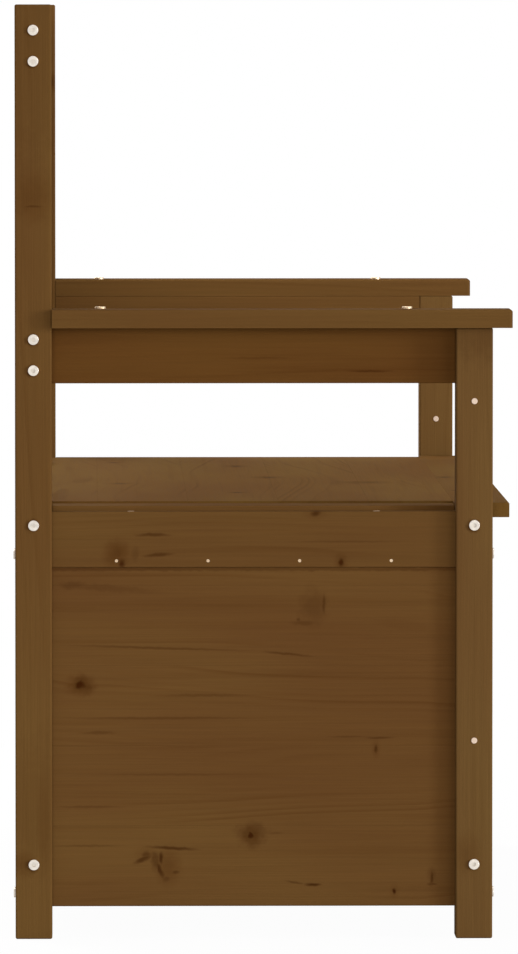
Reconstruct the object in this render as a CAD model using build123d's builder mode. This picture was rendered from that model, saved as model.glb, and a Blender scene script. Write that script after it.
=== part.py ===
"""A stained pine storage bench with a high slatted back, armrests and a seat that lifts on hinges.

Millimetres. The length runs along X, the front faces -Y and Z points up. The origin is on the floor, in
the middle of the bench's overall box. Left and right are as seen from the front.
"""

import os

from build123d import *

# Frame
post_side = 38.0
length_over_posts = 1105.0
depth_over_posts = 493.0
back_height = 965.0
arm_height = 632.0

# Timber: every narrow board is cut from one section, and the panels share its thickness
board_thickness = 18.0
stock_width = 58.0
post_rounding = 2.0
board_rounding = 1.5

# Box under the seat
panel_bottom = 33.0
panel_height = 351.0
bearer_end_gap = 45.0
cleat_side = 18.0
cleat_lift = 2.0
floor_thickness = 12.0
floor_board_count = 5
floor_board_gap = 6.0
floor_edge_gap = 1.0

# Backrest
lower_back_rail_bottom = 575.0
upper_back_rail_drop = 13.5
slat_count = 9
slat_width = 70.0
slat_thickness = 14.0
slat_rounding = 2.0
tenon_shoulder = 6.0
tenon_thickness = 8.0
tenon_length = 12.0
mortise_clearance = 0.2

# Armrests
armrest_width = 48.0
armrest_thickness = 19.0
armrest_overhang = 20.0
armrest_rounding = 3.0
armrest_bolt_inset = 50.0

# Seat: a lid made of a panel and a longer front board, between two fixed side strips
seat_thickness = 15.0
seat_rise = 7.0
seat_rounding = 1.0
front_board_width = 57.0
front_board_overhang = 19.0
front_board_end_gap = 4.0
lid_joint_gap = 0.1
lid_tongue_thickness = 5.0
lid_tongue_length = 8.0
lid_tongue_end_inset = 20.0
lid_side_margin = 42.0
lid_side_gap = 2.5
strip_drop = 2.0
strip_end_gap = 0.5
groove_clearance = 1.0
batten_count = 3
batten_end_inset = 80.0
batten_back_inset = 20.0
batten_front_gap = 8.0

# Hinges
hinge_count = 3
hinge_length = 70.0
hinge_end_inset = 140.0
hinge_leaf_height = 43.0
hinge_screw_spacing = 44.0
hinge_screw_drop = 28.0
leaf_thickness = 1.2
leaf_gap = 0.6
leaf_edge_gap = 0.5
knuckle_count = 5
knuckle_radius = 2.8
knuckle_gap = 0.4
hinge_clearance = 0.3
pin_radius = 1.5
pin_clearance = 0.05

# Bolts and their barrel nuts
bolt_radius = 3.0
bolt_head_radius = 5.5
bolt_head_height = 2.0
bolt_clearance = 0.25
bolt_edge_distance = 14.0
back_bolt_spacing = 32.0
socket_across_flats = 4.0
socket_depth = 3.0
nut_radius = 5.0
nut_length = 14.0
nut_inset = 25.0
nut_clearance = 0.1
nut_slot_width = 1.2
nut_slot_depth = 1.5
bolt_past_nut = 7.0

# Dowels
dowel_radius = 4.0
dowel_in_post = 12.0
dowel_in_board = 16.0
dowel_clearance = 0.1

# Screws
screw_clearance = 0.1
recess_width = 0.8
recess_depth = 0.8
rail_screw_radius = 2.25
rail_screw_head_radius = 3.75
rail_screw_bite = 32.0
rail_screw_inset = 81.5
end_rail_screw_count = 3
bearer_screw_radius = 1.2
bearer_screw_head_radius = 1.6
bearer_screw_bite = 14.0
bearer_screw_level = 7.0
bearer_screw_inset = 21.5
side_bearer_screw_count = 4
front_bearer_screw_count = 6
wood_screw_radius = 1.75
wood_screw_head_radius = 3.5
strip_screw_bite = 10.0
batten_screw_bite = 10.0
batten_screw_inset = 30.0
batten_screw_count = 5
floor_screw_bite = 12.0
floor_screw_inset = 30.0
cleat_screw_bite = 12.0
hinge_screw_radius = 1.4
hinge_screw_bite = 14.0

# Caps over the spare bolt holes of the front posts
cap_radius = 3.1
cap_thickness = 0.8
cap_stem_radius = 2.6
cap_stem_length = 8.0
cap_clearance = 0.1
inner_cap_level = 491.0
outer_cap_lift = 1.2

# Places along X: the side boards are centred on the posts, and the arm rails are flush with them inside
half_length = length_over_posts / 2
post_centre_x = half_length - post_side / 2
post_inner_x = half_length - post_side
side_inner_x = post_centre_x - board_thickness / 2
side_outer_x = post_centre_x + board_thickness / 2
arm_rail_centre_x = post_inner_x + board_thickness / 2
arm_rail_outer_x = post_inner_x + board_thickness
bearer_inner_x = side_inner_x - board_thickness
lid_half_length = post_inner_x - lid_side_margin
front_board_half_length = post_inner_x - front_board_end_gap

# Places along Y, where an end is 1 at the back and -1 at the front
mid_y = (armrest_overhang - bolt_head_height) / 2
outer_y = {end: mid_y + end * depth_over_posts / 2 for end in (-1, 1)}
post_y = {end: outer_y[end] - end * post_side / 2 for end in (-1, 1)}
inner_y = {end: outer_y[end] - end * post_side for end in (-1, 1)}
board_inner_y = {end: post_y[end] - end * board_thickness / 2 for end in (-1, 1)}
board_outer_y = {end: post_y[end] + end * board_thickness / 2 for end in (-1, 1)}
front_board_front_y = outer_y[-1] - front_board_overhang
front_board_back_y = front_board_front_y + front_board_width
hinge_gap = 2 * leaf_thickness + leaf_gap
hinge_axis_y = board_inner_y[1] - hinge_gap / 2
lid_back_y = board_inner_y[1] - hinge_gap
lid_front_y = front_board_back_y + lid_joint_gap
front_bearer_y = board_inner_y[-1] + board_thickness

# The knuckles reach over the lid's back edge, which is rounded off under them
lid_rounding = max(seat_rounding, knuckle_radius - hinge_gap / 2 + hinge_clearance)

# Levels
panel_top = panel_bottom + panel_height
box_top = panel_top + stock_width
seat_top = box_top + seat_rise
seat_bottom = seat_top - seat_thickness
strip_top = seat_top - strip_drop
strip_bottom = strip_top - seat_thickness
batten_bottom = seat_bottom - board_thickness
arm_rail_bottom = arm_height - stock_width
armrest_top = arm_height + armrest_thickness
upper_back_rail_bottom = back_height - upper_back_rail_drop - stock_width
cleat_bottom = panel_bottom + cleat_lift
floor_bottom = cleat_bottom + cleat_side
floor_top = floor_bottom + floor_thickness
hinge_axis_z = seat_top + knuckle_radius + hinge_clearance

# Levels of the fastenings above the bottom edge of a rail or a panel
low_level = bolt_edge_distance
high_level = stock_width - bolt_edge_distance
box_bottoms = (panel_bottom, panel_top)
length_bolt_levels = [bottom + high_level for bottom in box_bottoms]
depth_bolt_levels = [bottom + low_level for bottom in box_bottoms]
back_rail_bottoms = (lower_back_rail_bottom, upper_back_rail_bottom)
back_bolt_levels = [
    bottom + stock_width / 2 + up * back_bolt_spacing / 2 for bottom in back_rail_bottoms for up in (-1, 1)
]
panel_upper_dowel_level = panel_top - high_level
arm_dowel_levels = [arm_rail_bottom + low_level, arm_rail_bottom + high_level]
armrest_dowel_level = arm_height + armrest_thickness / 2
length_dowel_levels = depth_bolt_levels + [panel_upper_dowel_level]
depth_dowel_levels = length_bolt_levels + [panel_upper_dowel_level]

# Fastener lengths, and the radius, head radius and length of each kind of screw
bolt_length = post_side + nut_inset + bolt_past_nut
armrest_bolt_length = armrest_thickness + nut_inset + bolt_past_nut
dowel_length = dowel_in_post + dowel_in_board
rail_screw_size = (rail_screw_radius, rail_screw_head_radius, stock_width + rail_screw_bite)
bearer_screw_size = (bearer_screw_radius, bearer_screw_head_radius, board_thickness + bearer_screw_bite)
strip_screw_size = (wood_screw_radius, wood_screw_head_radius, stock_width + strip_screw_bite)
batten_screw_size = (wood_screw_radius, wood_screw_head_radius, board_thickness + batten_screw_bite)
floor_screw_size = (wood_screw_radius, wood_screw_head_radius, floor_thickness + floor_screw_bite)
cleat_screw_size = (wood_screw_radius, wood_screw_head_radius, cleat_side + cleat_screw_bite)
hinge_screw_head_radius = hinge_screw_radius + leaf_thickness
hinge_screw_size = (hinge_screw_radius, hinge_screw_head_radius, leaf_thickness + hinge_screw_bite)

left_and_right = ((-1, "left"), (1, "right"))
front_and_back = ((-1, "front"), (1, "back"))
os.makedirs("parts", exist_ok=True)


def save(piece, name):
    """Labels a finished piece and writes it to its own file."""
    piece.part.label = name
    export_step(piece.part, f"parts/{name}.step")


def board(piece, x_range, y_range, z_range, grain, rounding=board_rounding, glued_side=0):
    """Adds a board that fills three ranges, with the edges along its grain rounded.

    A glued side, 1 at the back or -1 at the front, keeps its edges square.
    """
    ranges = (x_range, y_range, z_range)
    with Locations(tuple(sum(limits) / 2 for limits in ranges)):
        Box(*(abs(limits[1] - limits[0]) for limits in ranges))
    edges = piece.edges().filter_by(grain)
    if glued_side:
        edges = edges.group_by(Axis.Y)[0 if glued_side > 0 else -1]
    fillet(edges, rounding)


def drill(planes, radius, depth):
    """Drills a round hole at each plane, against the plane's normal."""
    with Locations(*planes):
        Cylinder(radius, depth, align=(Align.CENTER, Align.CENTER, Align.MAX), mode=Mode.SUBTRACT)


def drill_bolts(planes, length=bolt_length):
    """Drills the clearance hole of a bolt at each plane, which lies under the bolt's head."""
    drill(planes, bolt_radius + bolt_clearance, length)


def drill_nuts(planes):
    """Drills the blind hole of a barrel nut at each plane."""
    drill(planes, nut_radius + nut_clearance, (board_thickness + nut_length) / 2)


def drill_dowels(planes):
    """Drills both halves of a dowel hole at each plane, which lies at the dowel's end."""
    drill(planes, dowel_radius + dowel_clearance, dowel_length)


def drill_screws(planes, radius, head_radius, length):
    """Drills a countersunk screw hole at each plane, which lies on the screw's head."""
    hole_radius = radius + screw_clearance
    sink_radius = head_radius + screw_clearance
    with Locations(*planes):
        CounterSinkHole(hole_radius, sink_radius, length, counter_sink_angle=90)


def spread(low, high, count):
    """Gives a number of evenly spaced places, from one limit to the other."""
    return [low + (high - low) * index / (count - 1) for index in range(count)]


def length_bolt(side, end, level):
    """The plane under the head of a bolt that goes through a post along X."""
    return Plane(origin=(side * half_length, post_y[end], level), z_dir=(side, 0, 0))


def depth_bolt(side, end, level):
    """The plane under the head of a bolt that goes through a post along Y."""
    return Plane(origin=(side * post_centre_x, outer_y[end], level), z_dir=(0, end, 0))


def armrest_bolt(side, end):
    """The plane under the head of a bolt that goes down through an armrest."""
    place_y = inner_y[end] - end * armrest_bolt_inset
    return Plane(origin=(side * arm_rail_centre_x, place_y, armrest_top), z_dir=(0, 0, 1))


def length_nut(side, end, facing, level):
    """The plane where the nut of a bolt along X is let into a board, from the face that it names."""
    place = (side * (post_inner_x - nut_inset), post_y[end] + facing * board_thickness / 2, level)
    return Plane(origin=place, x_dir=(side, 0, 0), z_dir=(0, facing, 0))


def depth_nut(side, end, level):
    """The plane where the nut of a bolt along Y is let into the inner face of a side board."""
    place = (side * side_inner_x, inner_y[end] - end * nut_inset, level)
    return Plane(origin=place, x_dir=(0, 1, 0), z_dir=(-side, 0, 0))


def armrest_nut(side, end):
    """The plane where the nut of an armrest bolt is let into the inner face of an arm rail."""
    place = (side * post_inner_x, inner_y[end] - end * armrest_bolt_inset, arm_height - nut_inset)
    return Plane(origin=place, x_dir=(0, 0, 1), z_dir=(-side, 0, 0))


def length_dowel(side, end, level):
    """The end, inside a post, of a dowel that runs along X."""
    return Plane(origin=(side * (post_inner_x + dowel_in_post), post_y[end], level), z_dir=(side, 0, 0))


def depth_dowel(side, end, level):
    """The end, inside a post, of a dowel that runs along Y."""
    return Plane(origin=(side * post_centre_x, inner_y[end] + end * dowel_in_post, level), z_dir=(0, end, 0))


def arm_dowel(side, end, level):
    """The end, inside a post, of a dowel that carries an arm rail."""
    place = (side * arm_rail_centre_x, inner_y[end] + end * dowel_in_post, level)
    return Plane(origin=place, z_dir=(0, end, 0))


def armrest_dowel(side):
    """The end, inside an armrest, of the dowel that stands in the top of a front post."""
    return Plane(origin=(side * post_centre_x, post_y[-1], arm_height + dowel_in_post), z_dir=(0, 0, 1))


def outer_caps(side):
    """The planes of the caps on a front post's outer face, about where its bolt holes would be upside down."""
    return [length_bolt(side, -1, arm_height - level + outer_cap_lift) for level in length_bolt_levels]


def inner_cap(side):
    """The plane of the cap on a front post's inner face."""
    return Plane(origin=(side * post_inner_x, post_y[-1], inner_cap_level), z_dir=(-side, 0, 0))


side_screw_ys = [inner_y[end] - end * rail_screw_inset for end in (-1, 1)]
end_screw_xs = spread(-post_inner_x + rail_screw_inset, post_inner_x - rail_screw_inset, end_rail_screw_count)
side_rail_screws = {
    side: [Plane(origin=(side * post_centre_x, y, box_top), z_dir=(0, 0, 1)) for y in side_screw_ys]
    for side in (-1, 1)
}
end_rail_screws = {
    end: [Plane(origin=(x, post_y[end], box_top), z_dir=(0, 0, 1)) for x in end_screw_xs]
    for end in (-1, 1)
}

side_bearer_ends = [inner_y[end] - end * bearer_end_gap for end in (-1, 1)]
side_bearer_screw_ends = [inner_y[end] - end * (bearer_end_gap + bearer_screw_inset) for end in (-1, 1)]
side_bearer_screw_ys = spread(*side_bearer_screw_ends, side_bearer_screw_count)
side_bearer_screws = {
    side: [
        Plane(origin=(side * side_outer_x, place_y, panel_top + bearer_screw_level), z_dir=(side, 0, 0))
        for place_y in side_bearer_screw_ys
    ]
    for side in (-1, 1)
}
front_bearer_half_length = post_inner_x - bearer_end_gap
front_bearer_screw_reach = front_bearer_half_length - bearer_screw_inset
front_bearer_screws = [
    Plane(origin=(place_x, board_outer_y[-1], panel_top + bearer_screw_level), z_dir=(0, -1, 0))
    for place_x in spread(-front_bearer_screw_reach, front_bearer_screw_reach, front_bearer_screw_count)
]

# Strip screws stand between the bearer screws, and come up through the bearers
strip_screw_ys = [(low + high) / 2 for low, high in zip(side_bearer_screw_ys, side_bearer_screw_ys[1:])]
strip_screws = {
    side: [
        Plane(
            origin=(side * (side_inner_x - board_thickness / 2), place_y, strip_bottom - stock_width),
            z_dir=(0, 0, -1),
        )
        for place_y in strip_screw_ys
    ]
    for side in (-1, 1)
}

# Lid battens run from front to back under the lid, and their screws come up through them
batten_front_y = front_bearer_y + batten_front_gap
batten_back_y = lid_back_y - batten_back_inset
batten_xs = spread(-lid_half_length + batten_end_inset, lid_half_length - batten_end_inset, batten_count)
batten_screw_ends = (batten_front_y + batten_screw_inset, batten_back_y - batten_screw_inset)
batten_screw_ys = spread(*batten_screw_ends, batten_screw_count)
batten_screws = {
    batten_x: [Plane(origin=(batten_x, y, batten_bottom), z_dir=(0, 0, -1)) for y in batten_screw_ys]
    for batten_x in batten_xs
}

# Floor boards run from front to back on two cleats
floor_half_length = post_inner_x - floor_edge_gap
floor_pitch = (2 * floor_half_length + floor_board_gap) / floor_board_count
floor_board_width = floor_pitch - floor_board_gap
floor_reach = floor_half_length - floor_board_width / 2
floor_xs = spread(-floor_reach, floor_reach, floor_board_count)
cleat_y = {end: board_inner_y[end] - end * cleat_side / 2 for end in (-1, 1)}
floor_screws = {
    floor_x: [
        Plane(
            origin=(floor_x + right * (floor_board_width / 2 - floor_screw_inset), cleat_y[end], floor_top),
            z_dir=(0, 0, 1),
        )
        for right in (-1, 1)
        for end in (-1, 1)
    ]
    for floor_x in floor_xs
}
cleat_screw_xs = [(low + high) / 2 for low, high in zip(floor_xs, floor_xs[1:])]
cleat_screws = {
    end: [
        Plane(
            origin=(place_x, board_inner_y[end] - end * cleat_side, cleat_bottom + cleat_side / 2),
            z_dir=(0, -end, 0),
        )
        for place_x in cleat_screw_xs
    ]
    for end in (-1, 1)
}

# Hinges: three in a row, the outer two set in from the ends of the lid
hinge_xs = spread(-lid_half_length + hinge_end_inset, lid_half_length - hinge_end_inset, hinge_count)
hinge_screw_xs = [hinge_x + right * hinge_screw_spacing / 2 for hinge_x in hinge_xs for right in (-1, 1)]
fixed_hinge_screws = [
    Plane(origin=(x, board_inner_y[1] - leaf_thickness, hinge_axis_z - hinge_screw_drop), z_dir=(0, -1, 0))
    for x in hinge_screw_xs
]
lid_hinge_screws = [
    Plane(origin=(x, lid_back_y + leaf_thickness, seat_bottom + seat_thickness / 2), z_dir=(0, 1, 0))
    for x in hinge_screw_xs
]

# Back posts: the full height, with the backrest bolts above the box bolts
for side, name in left_and_right:
    with BuildPart() as back_post:
        with Locations((side * post_centre_x, post_y[1], 0)):
            Box(post_side, post_side, back_height, align=(Align.CENTER, Align.CENTER, Align.MIN))
        fillet(back_post.edges(), post_rounding)
        drill_bolts([length_bolt(side, 1, level) for level in length_bolt_levels + back_bolt_levels])
        drill_bolts([depth_bolt(side, 1, level) for level in depth_bolt_levels])
        drill_dowels([length_dowel(side, 1, level) for level in length_dowel_levels])
        drill_dowels([depth_dowel(side, 1, level) for level in depth_dowel_levels + [armrest_dowel_level]])
        drill_dowels([arm_dowel(side, 1, level) for level in arm_dowel_levels])
    save(back_post, f"back_post_{name}")

# Front posts: up to the armrests, with capped spare holes so that either end can be the foot
for side, name in left_and_right:
    with BuildPart() as front_post:
        with Locations((side * post_centre_x, post_y[-1], 0)):
            Box(post_side, post_side, arm_height, align=(Align.CENTER, Align.CENTER, Align.MIN))
        fillet(front_post.edges(), post_rounding)
        drill_bolts([length_bolt(side, -1, level) for level in length_bolt_levels])
        drill_bolts([depth_bolt(side, -1, level) for level in depth_bolt_levels])
        drill_dowels([length_dowel(side, -1, level) for level in length_dowel_levels])
        drill_dowels([depth_dowel(side, -1, level) for level in depth_dowel_levels] + [armrest_dowel(side)])
        drill_dowels([arm_dowel(side, -1, level) for level in arm_dowel_levels])
        drill(outer_caps(side) + [inner_cap(side)], cap_stem_radius + cap_clearance, cap_stem_length)
    save(front_post, f"front_post_{name}")

# Side rails and panels: between the posts, the rail standing on the panel
side_y_range = (inner_y[-1], inner_y[1])
for side, name in left_and_right:
    side_x_range = (side * side_inner_x, side * side_outer_x)
    with BuildPart() as side_rail:
        board(side_rail, side_x_range, side_y_range, (panel_top, box_top), Axis.Y)
        drill_bolts([depth_bolt(side, end, panel_top + low_level) for end in (-1, 1)])
        drill_nuts([depth_nut(side, end, panel_top + low_level) for end in (-1, 1)])
        drill_dowels([depth_dowel(side, end, panel_top + high_level) for end in (-1, 1)])
        drill_screws(side_rail_screws[side], *rail_screw_size)
        drill_screws(side_bearer_screws[side], *bearer_screw_size)
    save(side_rail, f"side_rail_{name}")

    with BuildPart() as side_panel:
        board(side_panel, side_x_range, side_y_range, (panel_bottom, panel_top), Axis.Y)
        drill_bolts([depth_bolt(side, end, panel_bottom + low_level) for end in (-1, 1)])
        drill_nuts([depth_nut(side, end, panel_bottom + low_level) for end in (-1, 1)])
        for level in (panel_bottom + high_level, panel_upper_dowel_level):
            drill_dowels([depth_dowel(side, end, level) for end in (-1, 1)])
        drill_screws(side_rail_screws[side], *rail_screw_size)
    save(side_panel, f"side_panel_{name}")

# Front and back rails and panels: the same build, seen along X
end_x_range = (-post_inner_x, post_inner_x)
for end, name in front_and_back:
    end_y_range = (board_inner_y[end], board_outer_y[end])
    with BuildPart() as end_rail:
        board(end_rail, end_x_range, end_y_range, (panel_top, box_top), Axis.X)
        drill_bolts([length_bolt(side, end, panel_top + high_level) for side in (-1, 1)])
        drill_nuts([length_nut(side, end, -end, panel_top + high_level) for side in (-1, 1)])
        drill_dowels([length_dowel(side, end, panel_top + low_level) for side in (-1, 1)])
        drill_screws(end_rail_screws[end], *rail_screw_size)
        if end < 0:
            drill_screws(front_bearer_screws, *bearer_screw_size)
        else:
            drill_screws(fixed_hinge_screws, *hinge_screw_size)
    save(end_rail, f"{name}_rail")

    with BuildPart() as end_panel:
        board(end_panel, end_x_range, end_y_range, (panel_bottom, panel_top), Axis.X)
        drill_bolts([length_bolt(side, end, panel_bottom + high_level) for side in (-1, 1)])
        drill_nuts([length_nut(side, end, -end, panel_bottom + high_level) for side in (-1, 1)])
        for level in (panel_bottom + low_level, panel_upper_dowel_level):
            drill_dowels([length_dowel(side, end, level) for side in (-1, 1)])
        drill_screws(end_rail_screws[end], *rail_screw_size)
        drill_screws(cleat_screws[end], *cleat_screw_size)
    save(end_panel, f"{name}_panel")

# Side bearers: inside the side rails, over the joint with the panels, under the seat strips
for side, name in left_and_right:
    with BuildPart() as side_bearer:
        board(
            side_bearer,
            (side * bearer_inner_x, side * side_inner_x),
            side_bearer_ends,
            (strip_bottom - stock_width, strip_bottom),
            Axis.Y,
        )
        drill_screws(side_bearer_screws[side], *bearer_screw_size)
        drill_screws(strip_screws[side], *strip_screw_size)
    save(side_bearer, f"side_bearer_{name}")

# Front bearer: inside the front rail, where the closed lid rests on it
with BuildPart() as front_bearer:
    board(
        front_bearer,
        (-front_bearer_half_length, front_bearer_half_length),
        (board_inner_y[-1], front_bearer_y),
        (seat_bottom - stock_width, seat_bottom),
        Axis.X,
    )
    drill_screws(front_bearer_screws, *bearer_screw_size)
save(front_bearer, "front_bearer")

# Floor cleats: low on the inner faces of the front and back panels
for end, name in front_and_back:
    with BuildPart() as floor_cleat:
        board(
            floor_cleat,
            (-floor_half_length, floor_half_length),
            (board_inner_y[end], board_inner_y[end] - end * cleat_side),
            (cleat_bottom, floor_bottom),
            Axis.X,
        )
        drill_screws(cleat_screws[end], *cleat_screw_size)
        for floor_x in floor_xs:
            drill_screws(floor_screws[floor_x], *floor_screw_size)
    save(floor_cleat, f"floor_cleat_{name}")

# Floor boards
for index, floor_x in enumerate(floor_xs, start=1):
    with BuildPart() as floor_board:
        board(
            floor_board,
            (floor_x - floor_board_width / 2, floor_x + floor_board_width / 2),
            (board_inner_y[-1] + floor_edge_gap, board_inner_y[1] - floor_edge_gap),
            (floor_bottom, floor_top),
            Axis.Y,
        )
        drill_screws(floor_screws[floor_x], *floor_screw_size)
    save(floor_board, f"floor_board_{index}")

# Arm rails: under the armrests, on dowels between the posts and flush with their inner faces
for side, name in left_and_right:
    with BuildPart() as arm_rail:
        board(
            arm_rail,
            (side * post_inner_x, side * arm_rail_outer_x),
            side_y_range,
            (arm_rail_bottom, arm_height),
            Axis.Y,
        )
        drill_bolts([armrest_bolt(side, end) for end in (-1, 1)], armrest_bolt_length)
        drill_nuts([armrest_nut(side, end) for end in (-1, 1)])
        for level in arm_dowel_levels:
            drill_dowels([arm_dowel(side, end, level) for end in (-1, 1)])
    save(arm_rail, f"arm_rail_{name}")

# Armrests: flush with the posts inside, proud of them outside and in front, rounded over on top
armrest_front_y = outer_y[-1] - armrest_overhang
for side, name in left_and_right:
    armrest_centre = (
        side * (post_inner_x + armrest_width / 2),
        (armrest_front_y + inner_y[1]) / 2,
        arm_height + armrest_thickness / 2,
    )
    with BuildPart() as armrest:
        with Locations(armrest_centre):
            Box(armrest_width, inner_y[1] - armrest_front_y, armrest_thickness)
        front_face = armrest.faces().sort_by(Axis.Y)[0]
        fillet(front_face.edges().filter_by(Axis.Z), armrest_rounding)
        top_face = armrest.faces().sort_by(Axis.Z)[-1]
        fillet(top_face.edges().sort_by(Axis.Y)[:-1], armrest_rounding)
        drill_bolts([armrest_bolt(side, end) for end in (-1, 1)], armrest_bolt_length)
        drill_dowels([armrest_dowel(side), depth_dowel(side, 1, armrest_dowel_level)])
    save(armrest, f"armrest_{name}")

# Backrest rails: each with a row of mortises for the slats
slat_gap = (2 * post_inner_x - slat_count * slat_width) / (slat_count + 1)
slat_reach = post_inner_x - slat_gap - slat_width / 2
slat_xs = spread(-slat_reach, slat_reach, slat_count)
tenon_width = slat_width - 2 * tenon_shoulder
slat_bottom = lower_back_rail_bottom + stock_width
slat_top = upper_back_rail_bottom
back_rails = (
    ("lower", lower_back_rail_bottom, slat_bottom, Align.MAX),
    ("upper", upper_back_rail_bottom, slat_top, Align.MIN),
)
for name, bottom, mortise_level, into_rail in back_rails:
    bolt_levels = [bottom + stock_width / 2 + up * back_bolt_spacing / 2 for up in (-1, 1)]
    with BuildPart() as back_rail:
        board(
            back_rail,
            end_x_range,
            (board_inner_y[1], board_outer_y[1]),
            (bottom, bottom + stock_width),
            Axis.X,
        )
        with Locations(*((slat_x, post_y[1], mortise_level) for slat_x in slat_xs)):
            Box(
                tenon_width + 2 * mortise_clearance,
                tenon_thickness + 2 * mortise_clearance,
                tenon_length + mortise_clearance,
                align=(Align.CENTER, Align.CENTER, into_rail),
                mode=Mode.SUBTRACT,
            )
        for level in bolt_levels:
            drill_bolts([length_bolt(side, 1, level) for side in (-1, 1)])
            drill_nuts([length_nut(side, 1, 1, level) for side in (-1, 1)])
    save(back_rail, f"backrest_rail_{name}")

# Backrest slats: upright boards with a stub tenon at each end
slat_y_range = (post_y[1] - slat_thickness / 2, post_y[1] + slat_thickness / 2)
for index, slat_x in enumerate(slat_xs, start=1):
    with BuildPart() as slat:
        slat_x_range = (slat_x - slat_width / 2, slat_x + slat_width / 2)
        board(slat, slat_x_range, slat_y_range, (slat_bottom, slat_top), Axis.Z, slat_rounding)
        with Locations((slat_x, post_y[1], (slat_bottom + slat_top) / 2)):
            Box(tenon_width, tenon_thickness, slat_top - slat_bottom + 2 * tenon_length)
    save(slat, f"backrest_slat_{index}")

# Seat strips: fixed on the side bearers, beside the lid
for side, name in left_and_right:
    with BuildPart() as seat_strip:
        board(
            seat_strip,
            (side * (lid_half_length + lid_side_gap), side * side_inner_x),
            (front_board_back_y + strip_end_gap, inner_y[1] - strip_end_gap),
            (strip_bottom, strip_top),
            Axis.Y,
            seat_rounding,
        )
        drill_screws(strip_screws[side], *strip_screw_size)
    save(seat_strip, f"seat_strip_{name}")

# Lid panel: one glued board, hinged along its back edge, with a groove in its front edge
lid_tongue_level = seat_bottom + seat_thickness / 2
lid_tongue_half_length = lid_half_length - lid_tongue_end_inset
with BuildPart() as lid_panel:
    board(
        lid_panel,
        (-lid_half_length, lid_half_length),
        (lid_front_y, lid_back_y),
        (seat_bottom, seat_top),
        Axis.X,
        lid_rounding,
        glued_side=-1,
    )
    with Locations((0, lid_front_y, lid_tongue_level)):
        Box(
            2 * (lid_tongue_half_length + mortise_clearance),
            lid_tongue_length - lid_joint_gap + mortise_clearance,
            lid_tongue_thickness + 2 * mortise_clearance,
            align=(Align.CENTER, Align.MIN, Align.CENTER),
            mode=Mode.SUBTRACT,
        )
    for batten_x in batten_xs:
        drill_screws(batten_screws[batten_x], *batten_screw_size)
    drill_screws(lid_hinge_screws, *hinge_screw_size)
save(lid_panel, "lid_panel")

# Lid front board: reaches between the posts, its tongue is glued into the lid panel, and its groove drops
# over the front rail
with BuildPart() as lid_front_board:
    board(
        lid_front_board,
        (-front_board_half_length, front_board_half_length),
        (front_board_front_y, front_board_back_y),
        (seat_bottom, seat_top),
        Axis.X,
        seat_rounding,
        glued_side=1,
    )
    with Locations((0, front_board_back_y, lid_tongue_level)):
        Box(
            2 * lid_tongue_half_length,
            lid_tongue_length,
            lid_tongue_thickness,
            align=(Align.CENTER, Align.MIN, Align.CENTER),
        )
    with Locations((0, post_y[-1], seat_bottom)):
        Box(
            2 * front_board_half_length,
            board_thickness + 2 * groove_clearance,
            2 * (box_top - seat_bottom + groove_clearance),
            mode=Mode.SUBTRACT,
        )
save(lid_front_board, "lid_front_board")

# Lid battens: screwed across the lid panel from below, to keep it flat
for index, batten_x in enumerate(batten_xs, start=1):
    with BuildPart() as lid_batten:
        board(
            lid_batten,
            (batten_x - stock_width / 2, batten_x + stock_width / 2),
            (batten_front_y, batten_back_y),
            (batten_bottom, seat_bottom),
            Axis.Y,
        )
        drill_screws(batten_screws[batten_x], *batten_screw_size)
    save(lid_batten, f"lid_batten_{index}")

# Hinge leaves: a flat leaf with every second knuckle, bored for the pin
knuckle_pitch = hinge_length / knuckle_count
leaf_top = hinge_axis_z - knuckle_radius - hinge_clearance


def hinge_leaf(hinge_x, leaf_y, leaf_bottom, first_knuckle):
    """Adds one leaf whose middle plane is at leaf_y, with its knuckles round the hinge axis."""
    with Locations((hinge_x, leaf_y, leaf_top)):
        Box(
            hinge_length,
            leaf_thickness,
            leaf_top - leaf_bottom,
            align=(Align.CENTER, Align.CENTER, Align.MAX),
        )
    for index in range(first_knuckle, knuckle_count, 2):
        knuckle_x = hinge_x + (index - (knuckle_count - 1) / 2) * knuckle_pitch
        with Locations((knuckle_x, leaf_y, leaf_top)):
            Box(
                knuckle_pitch - knuckle_gap,
                leaf_thickness,
                hinge_axis_z - leaf_top,
                align=(Align.CENTER, Align.CENTER, Align.MIN),
            )
        with Locations(Plane(origin=(knuckle_x, hinge_axis_y, hinge_axis_z), z_dir=(1, 0, 0))):
            Cylinder(knuckle_radius, knuckle_pitch - knuckle_gap)
    with Locations(Plane(origin=(hinge_x, hinge_axis_y, hinge_axis_z), z_dir=(1, 0, 0))):
        Cylinder(pin_radius + pin_clearance, hinge_length, mode=Mode.SUBTRACT)


with BuildPart() as fixed_leaves:
    for hinge_x in hinge_xs:
        hinge_leaf(hinge_x, board_inner_y[1] - leaf_thickness / 2, hinge_axis_z - hinge_leaf_height, 0)
    drill_screws(fixed_hinge_screws, *hinge_screw_size)
save(fixed_leaves, "hinge_leaves_fixed")

with BuildPart() as lid_leaves:
    for hinge_x in hinge_xs:
        hinge_leaf(hinge_x, lid_back_y + leaf_thickness / 2, seat_bottom + leaf_edge_gap, 1)
    drill_screws(lid_hinge_screws, *hinge_screw_size)
save(lid_leaves, "hinge_leaves_lid")

with BuildPart() as hinge_pins:
    with Locations(*(Plane(origin=(x, hinge_axis_y, hinge_axis_z), z_dir=(1, 0, 0)) for x in hinge_xs)):
        Cylinder(pin_radius, hinge_length)
save(hinge_pins, "hinge_pins")


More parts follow.
